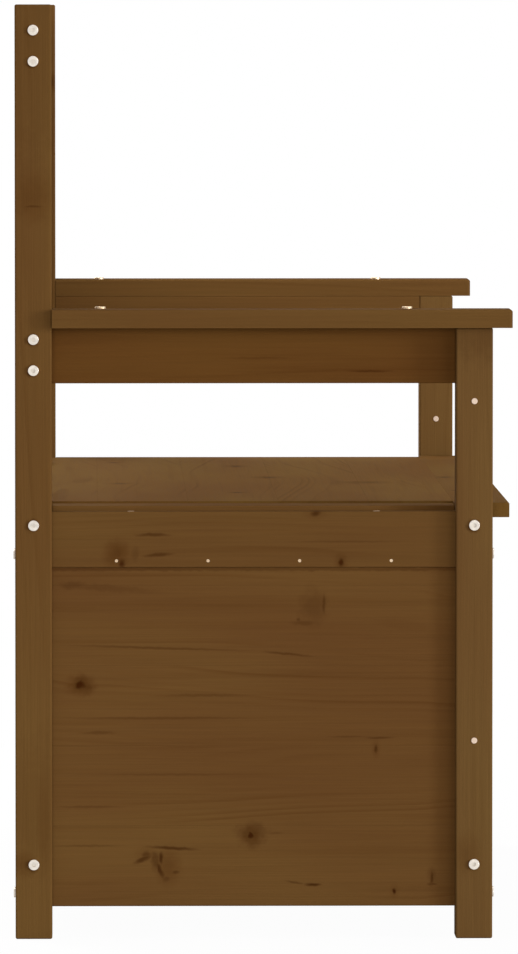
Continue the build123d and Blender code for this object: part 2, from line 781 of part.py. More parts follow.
def bolt(length):
    """A flat-headed bolt with a hexagon socket, its head on the XY plane and its shank below."""
    with BuildPart() as made:
        Cylinder(bolt_head_radius, bolt_head_height, align=(Align.CENTER, Align.CENTER, Align.MIN))
        Cylinder(bolt_radius, length, align=(Align.CENTER, Align.CENTER, Align.MAX))
        with BuildSketch(Plane.XY.offset(bolt_head_height)):
            RegularPolygon(socket_across_flats / 2, 6, major_radius=False)
        extrude(amount=-socket_depth, mode=Mode.SUBTRACT)
        rim = made.edges().filter_by(GeomType.CIRCLE).sort_by(Axis.Z).group_by(Axis.Z)[-1]
        fillet(rim, bolt_head_height / 4)
    return made.part


def screw(radius, head_radius, length):
    """A countersunk screw with a cross recess, its head flush with the XY plane and its shank below."""
    head_height = head_radius - radius
    recess_length = 2 * radius
    with BuildPart() as made:
        with BuildSketch(Plane.XZ):
            with BuildLine():
                Polyline(
                    (0, 0),
                    (head_radius, 0),
                    (radius, -head_height),
                    (radius, radius - length),
                    (0, -length),
                    close=True,
                )
            make_face()
        revolve(axis=Axis.Z)
        with BuildSketch():
            Rectangle(recess_length, recess_width)
            Rectangle(recess_width, recess_length)
        extrude(amount=-recess_depth, mode=Mode.SUBTRACT)
    return made.part


def scatter(made, planes, name):
    """Saves a group of copies of one fastener, one at each plane."""
    with BuildPart() as group:
        with Locations(*planes):
            add(made)
    save(group, name)


# Bolts through the posts, and down through the armrests
scatter(
    bolt(bolt_length),
    [length_bolt(side, end, level) for side in (-1, 1) for end in (-1, 1) for level in length_bolt_levels]
    + [length_bolt(side, 1, level) for side in (-1, 1) for level in back_bolt_levels]
    + [depth_bolt(side, end, level) for side in (-1, 1) for end in (-1, 1) for level in depth_bolt_levels],
    "frame_bolts",
)
scatter(
    bolt(armrest_bolt_length),
    [armrest_bolt(side, end) for side in (-1, 1) for end in (-1, 1)],
    "armrest_bolts",
)

# Barrel nuts: cross dowels in the middle of the boards' thickness, slotted to be turned in line
with BuildPart() as barrel_nut:
    with Locations((0, 0, -board_thickness / 2)):
        Cylinder(nut_radius, nut_length)
        Cylinder(bolt_radius + nut_clearance, 2 * nut_radius, rotation=(0, 90, 0), mode=Mode.SUBTRACT)
    with Locations((0, 0, (nut_length - board_thickness) / 2)):
        Box(2 * nut_radius, nut_slot_width, 2 * nut_slot_depth, mode=Mode.SUBTRACT)
scatter(
    barrel_nut.part,
    [length_nut(side, end, -end, z) for side in (-1, 1) for end in (-1, 1) for z in length_bolt_levels]
    + [length_nut(side, 1, 1, level) for side in (-1, 1) for level in back_bolt_levels]
    + [depth_nut(side, end, level) for side in (-1, 1) for end in (-1, 1) for level in depth_bolt_levels]
    + [armrest_nut(side, end) for side in (-1, 1) for end in (-1, 1)],
    "barrel_nuts",
)

# Dowels: keep each single-bolt joint from turning, and carry the arm rails and armrests
with BuildPart() as dowel:
    Cylinder(dowel_radius, dowel_length, align=(Align.CENTER, Align.CENTER, Align.MAX))
scatter(
    dowel.part,
    [length_dowel(side, end, level) for side in (-1, 1) for end in (-1, 1) for level in length_dowel_levels]
    + [depth_dowel(side, end, level) for side in (-1, 1) for end in (-1, 1) for level in depth_dowel_levels]
    + [arm_dowel(side, end, level) for side in (-1, 1) for end in (-1, 1) for level in arm_dowel_levels]
    + [depth_dowel(side, 1, armrest_dowel_level) for side in (-1, 1)]
    + [armrest_dowel(side) for side in (-1, 1)],
    "dowels",
)

# Screws
scatter(
    screw(*rail_screw_size),
    [*side_rail_screws.values(), *end_rail_screws.values()],
    "rail_screws",
)
scatter(
    screw(*bearer_screw_size),
    [*side_bearer_screws.values(), front_bearer_screws],
    "bearer_screws",
)
scatter(
    screw(*strip_screw_size),
    [*strip_screws.values()],
    "strip_screws",
)
scatter(
    screw(*batten_screw_size),
    [*batten_screws.values()],
    "batten_screws",
)
scatter(
    screw(*floor_screw_size),
    [*floor_screws.values()],
    "floor_screws",
)
scatter(
    screw(*cleat_screw_size),
    [*cleat_screws.values()],
    "cleat_screws",
)
hinge_screw = screw(*hinge_screw_size)
scatter(hinge_screw, fixed_hinge_screws, "hinge_screws_fixed")
scatter(hinge_screw, lid_hinge_screws, "hinge_screws_lid")

# Hole caps: a thin disc on a stem
with BuildPart() as cap:
    Cylinder(cap_radius, cap_thickness, align=(Align.CENTER, Align.CENTER, Align.MIN))
    Cylinder(cap_stem_radius, cap_stem_length, align=(Align.CENTER, Align.CENTER, Align.MAX))
    fillet(cap.edges().filter_by(GeomType.CIRCLE).sort_by(Axis.Z)[-1], cap_thickness / 2)
scatter(cap.part, [plane for side in (-1, 1) for plane in outer_caps(side) + [inner_cap(side)]], "hole_caps")
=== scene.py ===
"""Stained pine storage bench with a high slatted back, armrests and a seat that lifts on hinges.

Metres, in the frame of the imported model: X along the length, the front faces -Y, Z up.
"""

import random

import bpy
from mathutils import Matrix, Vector


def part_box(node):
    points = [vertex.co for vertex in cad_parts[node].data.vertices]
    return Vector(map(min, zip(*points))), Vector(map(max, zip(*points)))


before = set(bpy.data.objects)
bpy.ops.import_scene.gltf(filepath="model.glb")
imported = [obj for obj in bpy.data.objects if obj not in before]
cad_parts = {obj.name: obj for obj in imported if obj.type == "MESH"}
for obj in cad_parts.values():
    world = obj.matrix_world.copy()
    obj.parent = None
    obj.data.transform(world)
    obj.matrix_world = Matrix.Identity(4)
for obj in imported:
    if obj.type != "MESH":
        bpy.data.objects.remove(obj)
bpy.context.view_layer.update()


# Posts: four square lengths of planed pine, the back pair running up to the top of the backrest. They were
# drilled for the bolts, eased along every edge and dipped in a honey-brown stain that hides little of the
# grain and turns dark in knots and end grain.


def paint(red, green, blue):
    """Turns a colour as a chart gives it, from 0 to 255, into the light that it reflects."""
    parts = [value / 255 for value in (red, green, blue)]
    return tuple(v / 12.92 if v <= 0.04045 else ((v + 0.055) / 1.055) ** 2.4 for v in parts) + (1.0,)


def wire(tree, kind, inputs, **options):
    """Places one shader node, whose inputs are fixed values or links from other nodes' outputs."""
    node = tree.nodes.new("ShaderNode" + kind)
    for option, value in options.items():
        setattr(node, option, value)
    for socket, value in inputs.items():
        if isinstance(value, bpy.types.NodeSocket):
            tree.links.new(value, node.inputs[socket])
        else:
            node.inputs[socket].default_value = value
    return node


def reckon(tree, operation, *terms):
    """Works a sum on numbers."""
    return wire(tree, "Math", dict(enumerate(terms)), operation=operation).outputs[0]


def reckon_place(tree, operation, *terms):
    """Works a sum on places, axis by axis."""
    return wire(tree, "VectorMath", dict(enumerate(terms)), operation=operation).outputs[0]


def fade(tree, value, none, full):
    """Goes smoothly from 0 to 1 as a value goes from the one limit to the other."""
    limits = {"Value": value, "From Min": none, "From Max": full}
    return wire(tree, "MapRange", limits, interpolation_type="SMOOTHSTEP").outputs[0]


def mix_colour(tree, share, first, second):
    """Mixes two colours."""
    return wire(tree, "Mix", {0: share, 6: first, 7: second}, data_type="RGBA").outputs[2]


def patches(tree, place, pitch, detail=2.0):
    """Soft random patches, from 0 to 1, with so many to the metre along each axis."""
    stretched = reckon_place(tree, "MULTIPLY", place, pitch)
    return wire(tree, "TexNoise", {"Vector": stretched, "Scale": 1.0, "Detail": detail}).outputs["Fac"]


def new_effect(name, takes, gives):
    """Starts a node group with named sockets, and hands back its tree, what it takes and what it gives."""
    tree = bpy.data.node_groups.new(name, "ShaderNodeTree")
    for in_out, sockets in (("INPUT", takes), ("OUTPUT", gives)):
        for socket, kind in sockets.items():
            tree.interface.new_socket(name=socket, in_out=in_out, socket_type="NodeSocket" + kind)
    return tree, tree.nodes.new("NodeGroupInput").outputs, tree.nodes.new("NodeGroupOutput").inputs


def lay_effect(tree, effect, inputs):
    """Lays a finished effect into a material, and hands back what it gives."""
    node = tree.nodes.new("ShaderNodeGroup")
    node.node_tree = effect
    for socket, value in inputs.items():
        if isinstance(value, bpy.types.NodeSocket):
            tree.links.new(value, node.inputs[socket])
        else:
            node.inputs[socket].default_value = value
    return node.outputs


def make_growth_rings():
    """Rings of a log sawn into boards: its pith runs beside each board and wanders along it."""
    ring_width = 0.0052
    pith_depth = 0.042
    pith_wander = 0.22
    wave_rings = 2.8
    late_start, late_peak = 0.2, 0.82
    faintest_ring = 0.1
    streak_share = 0.45
    takes = {"Board": "Vector", "Seed": "Float", "Swell": "Float"}
    gives = {"Rings": "Float", "Fibre": "Float"}
    tree, given, out = new_effect("growth_rings", takes, gives)
    shift = reckon_place(tree, "MULTIPLY", given["Seed"], (3.1, 1.7, 0.9))
    place = reckon_place(tree, "ADD", given["Board"], shift)
    board = wire(tree, "SeparateXYZ", {"Vector": given["Board"]}).outputs
    drift = patches(tree, place, (0.9, 0.3, 0.3), 1.0)
    wander = reckon(tree, "MULTIPLY_ADD", drift, pith_wander, -pith_wander / 2)
    across = reckon(tree, "ADD", board["Y"], wander)
    through = reckon(tree, "ADD", board["Z"], pith_depth)
    from_pith = wire(tree, "CombineXYZ", {"X": across, "Y": through}).outputs[0]
    radius = wire(tree, "VectorMath", {0: from_pith}, operation="LENGTH").outputs["Value"]
    ripple = patches(tree, place, (2.2, 14.0, 14.0), 2.0)
    waves = reckon(tree, "MULTIPLY_ADD", ripple, wave_rings, given["Swell"])
    count = reckon(tree, "MULTIPLY_ADD", radius, 1 / ring_width, waves)
    year = reckon(tree, "ADD", reckon(tree, "FLOOR", count), given["Seed"])
    lean = wire(tree, "TexWhiteNoise", {"W": year}, noise_dimensions="1D").outputs["Value"]
    season = reckon(tree, "FRACT", count)
    darkens = fade(tree, season, late_start, late_peak)
    late = reckon(tree, "MULTIPLY", darkens, fade(tree, season, 1.0, late_peak))
    lean_year = reckon(tree, "POWER", lean, 2.5)
    strength = reckon(tree, "MULTIPLY_ADD", lean_year, 1 - faintest_ring, faintest_ring)
    stretch = fade(tree, patches(tree, place, (3.5, 22.0, 22.0), 1.0), 0.35, 0.7)
    rings = reckon(tree, "MULTIPLY", late, reckon(tree, "MULTIPLY", strength, stretch))
    streaks = fade(tree, patches(tree, place, (3.0, 90.0, 90.0), 2.0), 0.5, 0.78)
    tree.links.new(reckon(tree, "MULTIPLY_ADD", streaks, streak_share, rings), out["Rings"])
    tree.links.new(patches(tree, place, (9.0, 520.0, 520.0), 3.0), out["Fibre"])
    return tree


def make_knot():
    """A branch that the saw cut through: a dark core, a stained halo, and grain that swells round it.

    Where the core and the halo end, and where they are full, is given in half sizes of the knot.
    """
    # The same shape also lays the patches of painted shade and painted shadow.
    core_end, core_full = 1.25, 0.25
    halo_end, halo_full = 3.0, 0.8
    wobble_share = 1.3
    swell_narrowness = 0.16
    rings_pushed_per_metre = 170.0
    takes = {
        "Board": "Vector",
        "Place": "Vector",
        "Size": "Vector",
        "Turn": "Float",
        "Core": "Float",
        "Halo": "Float",
    }
    gives = {"Core": "Float", "Halo": "Float", "Swell": "Float"}
    tree, given, out = new_effect("knot", takes, gives)
    size = wire(tree, "SeparateXYZ", {"Vector": given["Size"]}).outputs
    width = reckon(tree, "MINIMUM", size["X"], size["Y"])
    rough_edge = wire(tree, "TexNoise", {"Vector": given["Board"], "Scale": 130.0, "Detail": 3.0})
    jitter = reckon_place(tree, "SUBTRACT", rough_edge.outputs["Color"], (0.5, 0.5, 0.5))
    reach_out = reckon(tree, "MULTIPLY", width, wobble_share)
    wobble = wire(tree, "VectorMath", {0: jitter, "Scale": reach_out}, operation="SCALE").outputs[0]
    apart = reckon_place(tree, "SUBTRACT", reckon_place(tree, "ADD", given["Board"], wobble), given["Place"])
    flat = reckon_place(tree, "MULTIPLY", apart, (1.0, 1.0, 0.0))
    turned = wire(tree, "VectorRotate", {"Vector": flat, "Angle": given["Turn"]}, rotation_type="Z_AXIS")
    scaled = reckon_place(tree, "DIVIDE", turned.outputs[0], given["Size"])
    reach = wire(tree, "VectorMath", {0: scaled}, operation="LENGTH").outputs["Value"]
    core = reckon(tree, "MULTIPLY", fade(tree, reach, core_end, core_full), given["Core"])
    halo = reckon(tree, "MULTIPLY", fade(tree, reach, halo_end, halo_full), given["Halo"])
    far = reckon(tree, "MULTIPLY", reckon(tree, "POWER", reach, 2.0), -swell_narrowness)
    fall = reckon(tree, "EXPONENT", far)
    pushed = reckon(tree, "MULTIPLY", width, rings_pushed_per_metre)
    pushed_rings = reckon(tree, "MULTIPLY", pushed, given["Halo"])
    tree.links.new(core, out["Core"])
    tree.links.new(halo, out["Halo"])
    tree.links.new(reckon(tree, "MULTIPLY", fall, pushed_rings), out["Swell"])
    return tree


def make_board_edges():
    """Worn long edges with a painted highlight, and the open end grain that soaks up more stain, by metres
    from edge and end.
    """
    wear_and_highlight_end, wear_and_highlight_full = 0.0042, 0.0014
    wear_and_highlight_unevenness = 0.0034
    soaked_end, soaked_full = 0.012, 0.0005
    soaked_share = 0.22
    cut_end, cut_full = 0.0009, 0.0003
    takes = {"Board": "Vector", "Half": "Vector"}
    gives = {"Edge": "Float", "End": "Float"}
    tree, given, out = new_effect("board_edges", takes, gives)
    left = reckon_place(tree, "SUBTRACT", given["Half"], reckon_place(tree, "ABSOLUTE", given["Board"]))
    apart = wire(tree, "SeparateXYZ", {"Vector": left}).outputs
    patchy = patches(tree, given["Board"], (45.0, 45.0, 45.0))
    uneven = reckon(tree, "MULTIPLY", patchy, wear_and_highlight_unevenness)
    long_edge = reckon(tree, "MAXIMUM", apart["Y"], apart["Z"])
    wear_and_highlight = fade(tree, reckon(tree, "ADD", long_edge, uneven), wear_and_highlight_end, wear_and_highlight_full)
    tree.links.new(wear_and_highlight, out["Edge"])
    soaked = reckon(tree, "MULTIPLY", fade(tree, apart["X"], soaked_end, soaked_full), soaked_share)
    cut = fade(tree, apart["X"], cut_end, cut_full)
    tree.links.new(reckon(tree, "MAXIMUM", soaked, cut), out["End"])
    return tree


def make_stained_pine():
    """Colour, roughness and relief of stained pine, from its grain, knots, painted shade, edges and ends."""
    red_brown = paint(98, 66, 34)
    yellow_brown = paint(106, 76, 39)
    late_wood = paint(78, 46, 16)
    knot_and_shade_brown = paint(53, 22, 3)
    halo_brown = paint(82, 49, 18)
    ring_share, halo_share, core_share = 0.55, 0.75, 0.9
    fibre_contrast = 0.22
    takes = {
        name: "Float"
        for name in ("Tone", "Rings", "Fibre", "Cloud", "Core", "Halo", "Edge", "End", "Joint")
    }
    gives = {"Color": "Color", "Roughness": "Float", "Height": "Float"}
    tree, given, out = new_effect("stained_pine", takes, gives)
    colour = mix_colour(tree, fade(tree, given["Cloud"], 0.26, 0.74), red_brown, yellow_brown)
    colour = mix_colour(tree, reckon(tree, "MULTIPLY", given["Rings"], ring_share), colour, late_wood)
    colour = mix_colour(tree, reckon(tree, "MULTIPLY", given["Halo"], halo_share), colour, halo_brown)
    fibre_light = reckon(tree, "MULTIPLY_ADD", given["Fibre"], fibre_contrast, 1 - fibre_contrast / 2)
    light = reckon(tree, "MULTIPLY", given["Tone"], fibre_light)
    # Long edges are lightened, partly for wear and partly as a painted highlight.
    for share, gain in (("Edge", 0.04), ("End", -0.08), ("Joint", -0.045)):
        light = reckon(tree, "MULTIPLY", light, reckon(tree, "MULTIPLY_ADD", given[share], gain, 1.0))
    colour = wire(tree, "VectorMath", {0: colour, "Scale": light}, operation="SCALE").outputs[0]
    # Knot cores, and the cores of the patches of painted shade, darken towards this brown.
    colour = mix_colour(tree, reckon(tree, "MULTIPLY", given["Core"], core_share), colour, knot_and_shade_brown)
    tree.links.new(colour, out["Color"])
    rough = reckon(tree, "MULTIPLY_ADD", given["Fibre"], 0.16, 0.7)
    rough = reckon(tree, "MULTIPLY_ADD", given["End"], 0.1, rough)
    rough = reckon(tree, "MULTIPLY_ADD", given["Core"], -0.1, rough)
    tree.links.new(rough, out["Roughness"])
    relief = reckon(tree, "MULTIPLY_ADD", given["Rings"], 0.5, given["Fibre"])
    relief = reckon(tree, "MULTIPLY_ADD", given["Core"], -0.6, relief)
    tree.links.new(reckon(tree, "MULTIPLY_ADD", given["Joint"], -0.6, relief), out["Height"])
    return tree


growth_rings = make_growth_rings()
knot = make_knot()
board_edges = make_board_edges()
stained_pine = make_stained_pine()


def lay_board(tree, low, high, lay):
    """Gives each place on a board as along, across and through it, from its middle, and its half size."""
    where = wire(tree, "TexCoord", {}).outputs["Object"]
    from_middle = reckon_place(tree, "SUBTRACT", where, (low + high) / 2)
    axes = wire(tree, "SeparateXYZ", {"Vector": from_middle}).outputs
    laid = wire(tree, "CombineXYZ", {"XYZ"[index]: axes[axis] for index, axis in enumerate(lay)}).outputs[0]
    return laid, [(high - low)["XYZ".index(axis)] / 2 for axis in lay]


def finish_wood(tree, colour, rough, height, relief):
    """Closes a wood material with a matt shader."""
    grain_depth = 0.0006
    gloss = 0.015
    grooves = {"Strength": relief, "Distance": grain_depth, "Height": height}
    normal = wire(tree, "Bump", grooves).outputs[0]
    shader = wire(
        tree,
        "BsdfPrincipled",
        {"Base Color": colour, "Roughness": rough, "Specular IOR Level": gloss, "Normal": normal},
    )
    wire(tree, "OutputMaterial", {"Surface": shader.outputs[0]})


def wear(node, material):
    """Puts a material on a piece of the frame."""
    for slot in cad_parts[node].material_slots:
        slot.material = material


def new_material(name):
    """Starts an empty material and hands it back with its tree."""
    material = bpy.data.materials.new(name)
    material.use_nodes = True
    material.node_tree.nodes.clear()
    return material, material.node_tree


def stain(node, lay, seed, tone=1.0, marks=(), glue_up=None, figure=1.0, tint=(1.0, 1.0, 1.0)):
    """Stains one board. Its lay names the axes along, across and through it.

    Each mark is a knot, a streak or a patch of painted shade: its place along and across from the board's
    middle, half its length and half its width in millimetres, how strong its core and its halo are, and for
    a slanting one its turn in radians. A glue-up lays the board out of planks. The figure is how strongly
    the rings show, and the tint is how this board took the stain, except on the left arm rail, where it
    paints shade.
    """
    plank_seed_step, plank_tone_range = 17.0, 0.05
    grain_relief = 0.35
    material, tree = new_material("stained_pine." + node)
    board, half = lay_board(tree, *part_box(node), lay)
    log, log_seed, log_tone, joint = board, seed, tone, 0.0
    if glue_up:
        planks = lay_effect(tree, glue_up, {"Board": board})
        log = planks["Board"]
        darkest = (1 - plank_tone_range / 2) * tone
        log_seed = reckon(tree, "MULTIPLY_ADD", planks["Plank"], plank_seed_step, seed)
        log_tone = reckon(tree, "MULTIPLY_ADD", planks["Plank"], plank_tone_range * tone, darkest)
        joint = planks["Joint"]
    core = halo = swell = 0.0
    for along, across, half_length, half_width, dark, spread, *turn in marks:
        mark = lay_effect(
            tree,
            knot,
            {
                "Board": board,
                "Place": (along / 1000, across / 1000, 0.0),
                "Size": (half_length / 1000, half_width / 1000, 1.0),
                "Turn": -sum(turn),
                "Core": dark,
                "Halo": spread,
            },
        )
        core = reckon(tree, "MAXIMUM", mark["Core"], core)
        halo = reckon(tree, "MAXIMUM", mark["Halo"], halo)
        swell = reckon(tree, "ADD", mark["Swell"], swell)
    grain = lay_effect(tree, growth_rings, {"Board": log, "Seed": log_seed, "Swell": swell})
    edges = lay_effect(tree, board_edges, {"Board": board, "Half": half})
    moved = reckon_place(tree, "ADD", board, (seed, 0.7 * seed, 0.3 * seed))
    wood = lay_effect(
        tree,
        stained_pine,
        {
            "Tone": log_tone,
            "Rings": reckon(tree, "MULTIPLY", grain["Rings"], figure),
            "Fibre": grain["Fibre"],
            "Cloud": patches(tree, moved, (2.2, 8.0, 8.0)),
            "Core": core,
            "Halo": halo,
            "Edge": edges["Edge"],
            "End": edges["End"],
            "Joint": joint,
        },
    )
    colour = reckon_place(tree, "MULTIPLY", wood["Color"], tint)
    finish_wood(tree, colour, wood["Roughness"], wood["Height"], grain_relief)
    wear(node, material)


def chance_marks(seed, half_length, half_width, knots, streaks):
    """Knots and resin streaks for a board that the photograph doesn't show, drawn from its seed."""
    draw = random.Random(seed)
    marks = []
    for _ in range(knots):
        size = draw.uniform(2.5, 6.0)
        along, across = draw.uniform(-1, 1) * half_length, draw.uniform(-0.9, 0.9) * half_width
        marks.append((along, across, size * draw.uniform(1.0, 1.5), size, draw.uniform(0.6, 1.0), 0.8))
    for _ in range(streaks):
        along, across = draw.uniform(-0.9, 0.9) * half_length, draw.uniform(-0.9, 0.9) * half_width
        length, width = draw.uniform(12, 40), draw.uniform(1.0, 2.0)
        marks.append((along, across, length, width, draw.uniform(0.3, 0.7), 0.0))
    return marks


def bolt_rims(post, levels):
    """Dark rims round bolt heads, mostly below them and to the back: painted contact shadow, and stain and
    dust gathered there.
    """
    radius, offset, strength = 7.5, 0.9, 0.9
    low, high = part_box(post)
    middle = 1000 * (low.z + high.z) / 2
    return [(level - middle - offset, offset, radius, radius, strength, 0.0) for level in levels]


# Levels of the bolts that go through the posts along the length, in millimetres from the floor
box_bolts = (77, 428)
backrest_bolts = (588, 620, 906.5, 938.5)

# Besides the rims, the left back post is darker near its top and foot, painted shade as well as stain, and
# has a knot with a scar, a faint knot and a streak. The left front post has the armrest's shadow painted on
# its top, and one faint knot.
back_post_marks = bolt_rims("back_post_left", box_bolts + backrest_bolts) + [
    # Darker near the top and the foot: painted shade as well as stain.
    (420, 0, 140, 140, 0.15, 0.0),
    (-345, 0, 80, 80, 0.12, 0.0),
    (284, 0, 12, 10, 0.1, 0.5),
    (274.5, 0, 1.4, 10, 0.5, 0.0),
    (-405, 12, 6, 7, 0.15, 0.5),
    (-362, -10, 22, 3, 0.12, 0.3),
]
stain("back_post_left", "ZYX", 1.3, 1.03, back_post_marks, figure=0.5, tint=(1.0, 1.04, 1.03))
far_back_marks = bolt_rims("back_post_right", box_bolts + backrest_bolts) + chance_marks(2, 440, 14, 4, 3)
stain("back_post_right", "ZYX", 2.9, 1.06, far_back_marks, figure=0.7)
front_post_marks = bolt_rims("front_post_left", box_bolts) + [
    # Painted shadow of the armrest over the top of the post.
    (316, 0, 40, 60, 0.24, 0.0),
    (-229, 7, 10, 6, 0.1, 0.4),
]
stain("front_post_left", "ZYX", 4.4, 1.06, front_post_marks, figure=0.4, tint=(1.0, 1.08, 1.18))
far_front_marks = bolt_rims("front_post_right", box_bolts) + [
    (-70, -6, 5, 4, 0.9, 0.8),
    (-215, 8, 4, 3, 0.8, 0.7),
    (20, 3, 30, 1.4, 0.3, 0.0),
]
# Its lighter tone is painted light, making up for the shade that falls on its inner face.
stain("front_post_right", "ZYX", 5.6, 1.13, far_front_marks, figure=0.4, tint=(1.0, 1.06, 1.15))


# Box sides: each is a panel glued up from planks, with a rail standing on it. Dowels and bolts hold both
# between the posts, a little behind the posts' faces, and their long edges are eased, so a dark line shows
# where the rail meets the panel; painted shade along the panel's top edge deepens it.


def make_glue_up(name, plank_width, offset):
    """Planks glued edge to edge, each from its own log."""
    joint_end, joint_full = 0.0011, 0.0002
    gives = {"Board": "Vector", "Plank": "Float", "Joint": "Float"}
    tree, given, out = new_effect(name, {"Board": "Vector"}, gives)
    board = wire(tree, "SeparateXYZ", {"Vector": given["Board"]}).outputs
    count = reckon(tree, "MULTIPLY_ADD", board["Y"], 1 / plank_width, offset)
    number = reckon(tree, "FLOOR", count)
    middle = reckon(tree, "SUBTRACT", reckon(tree, "FRACT", count), 0.5)
    across = reckon(tree, "MULTIPLY", middle, plank_width)
    log = wire(tree, "CombineXYZ", {"X": board["X"], "Y": across, "Z": board["Z"]}).outputs[0]
    chance = wire(tree, "TexWhiteNoise", {"W": reckon(tree, "ADD", number, 0.37)}, noise_dimensions="1D")
    to_joint = reckon(tree, "SUBTRACT", plank_width / 2, reckon(tree, "ABSOLUTE", across))
    tree.links.new(log, out["Board"])
    tree.links.new(chance.outputs["Value"], out["Plank"])
    tree.links.new(fade(tree, to_joint, joint_end, joint_full), out["Joint"])
    return tree


panel_planks = make_glue_up("panel_planks", 0.083, 0.11)

# Painted shade along the joint at a panel's top edge, where the rail meets it
painted_joint_shade = [(0.0, 173.8, 900.0, 2.4, 0.45, 0.0)]

# The left panel's marks: painted shade beside the front post, two round knots, a split knot with its twigs
# low on the panel, small knots and scars, a faint oval with a scar, and dark streaks along the grain
left_panel_marks = painted_joint_shade + [
    # Painted shade beside the front post
    (-208.5, 0.0, 11.0, 900.0, 0.0, 0.3),
    (179.6, 54.0, 7.0, 5.4, 1.0, 0.6),
    (177.0, 54.3, 14.5, 11.5, 0.36, 0.0),
    (3.3, -102.1, 3.9, 5.2, 1.0, 0.5),
    (0.7, -100.8, 9.0, 9.0, 0.45, 0.0),
    (2.0, -100.8, 17.5, 15.5, 0.4, 0.0),
    (-22.5, -100.0, 9.0, 1.6, 0.25, 0.0),
    (84.0, -115.2, 28.0, 2.0, 0.72, 0.0, 0.06),
    (115.4, -127.2, 11.0, 3.0, 0.72, 0.0, -0.4),
    (111.3, -122.0, 5.5, 3.6, 0.5, 0.3),
    (101.8, -127.7, 5.5, 10.5, 0.48, 0.0),
    (95.9, -125.4, 2.4, 7.0, 0.8, 0.0),
    (97.5, -137.2, 11.0, 2.7, 0.75, 0.0, 1.18),
    (90.6, -147.4, 4.5, 3.5, 0.35, 0.3),
    (88.5, -134.0, 6.0, 9.0, 0.1, 0.5),
    (80.6, -140.2, 4.2, 1.9, 0.5, 0.0),
    (-126.2, -12.7, 2.0, 4.8, 0.65, 0.4),
    (-130.0, -1.1, 16.0, 1.3, 0.5, 0.0),
    (-96.0, 0.0, 20.0, 1.2, 0.3, 0.0),
    (-145.3, -160.1, 2.3, 3.5, 1.0, 0.3),
    (-184.2, -146.6, 2.3, 8.8, 0.72, 0.0),
    (-184.4, -144.5, 5.5, 9.0, 0.3, 0.0),
    (-184.5, -153.2, 6.0, 1.6, 0.5, 0.0),
    (-61.2, -153.4, 9.5, 1.9, 0.85, 0.0),
    (-41.8, -151.0, 11.0, 1.4, 0.45, 0.0, 0.17),
    (-61.5, 135.4, 16.0, 21.0, 0.26, 0.0),
    (-72.2, 137.4, 2.2, 12.5, 0.55, 0.0),
    (-51.5, 118.1, 14.0, 3.0, 0.34, 0.0),
    (-46.0, 121.7, 2.6, 2.3, 0.42, 0.0),
    (187.0, 157.5, 17.0, 5.0, 0.32, 0.0),
    (150.0, 154.0, 55.0, 4.2, 0.22, 0.0, 0.07),
    (99.3, 92.2, 107.0, 1.5, 0.4, 0.0, 0.034),
    (-35.0, 85.9, 28.0, 1.7, 0.5, 0.0, 0.096),
    (99.0, 19.5, 105.0, 1.6, 0.35, 0.0),
    (160.0, 4.4, 20.0, 2.0, 0.35, 0.0),
    (54.0, 43.0, 52.0, 1.8, 0.3, 0.0),
    (90.0, -38.8, 90.0, 1.4, 0.25, 0.0),
    (170.0, -72.4, 38.0, 1.7, 0.3, 0.0),
    (173.0, -112.7, 38.0, 1.4, 0.3, 0.0),
]

# The left rail's marks: a knot at its lower edge with a stained patch and a smudge beside it, a second knot,
# three streaks and a small knot at its upper edge
left_rail_marks = [
    (136.4, -24.8, 3.7, 5.2, 0.85, 0.0),
    (141.5, -14.5, 6.2, 6.8, 0.2, 0.75),
    (122.4, -15.0, 5.0, 8.5, 0.24, 0.0),
    (-90.2, -24.0, 3.2, 4.5, 0.95, 0.5),
    (104.2, 4.8, 20.0, 2.1, 0.62, 0.0),
    (98.8, -15.7, 17.0, 2.4, 0.62, 0.0, -0.08),
    (-99.6, -2.3, 60.0, 1.2, 0.25, 0.0),
    (-64.0, 27.0, 6.0, 3.0, 0.75, 0.3),
]
stain("side_panel_left", "YZX", 11.7, 0.98, left_panel_marks, panel_planks, figure=0.62)
stain("side_panel_right", "YZX", 14.2, 1.0, painted_joint_shade + chance_marks(14, 190, 165, 7, 5), panel_planks)
stain("side_rail_left", "YZX", 16.4, 0.96, left_rail_marks, figure=0.6)
stain("side_rail_right", "YZX", 18.8, 1.03, chance_marks(18, 190, 26, 3, 2))
stain("front_panel", "XZY", 21.5, 1.02, painted_joint_shade + chance_marks(21, 490, 165, 14, 10), panel_planks)
stain("back_panel", "XZY", 24.9, 0.98, painted_joint_shade + chance_marks(24, 490, 165, 13, 10), panel_planks)
stain("front_rail", "XZY", 26.3, 1.05, chance_marks(26, 490, 26, 4, 5))
stain("back_rail", "XZY", 28.1, 0.99, chance_marks(28, 490, 26, 4, 5))


# Bearers and box floor: plain battens screwed inside the rails carry the seat, and two cleats carry the five
# boards of the floor, screwed down with narrow gaps between them. The same pine, out of sight until the
# seat is lifted.
stain("side_bearer_left", "YZX", 31.2, 0.97, chance_marks(31, 150, 26, 2, 2))
stain("side_bearer_right", "YZX", 33.6, 1.0, chance_marks(33, 150, 26, 2, 2))
stain("front_bearer", "XZY", 35.5, 0.98, chance_marks(35, 450, 26, 4, 3))
stain("floor_cleat_front", "XZY", 37.4, 0.95)
stain("floor_cleat_back", "XZY", 39.7, 0.96)
for number in range(1, 6):
    marks = chance_marks(40 + number, 200, 90, 3, 3)
    stain(f"floor_board_{number}", "YXZ", 41.3 + 2.7 * number, 0.94 + 0.03 * (number % 3), marks)


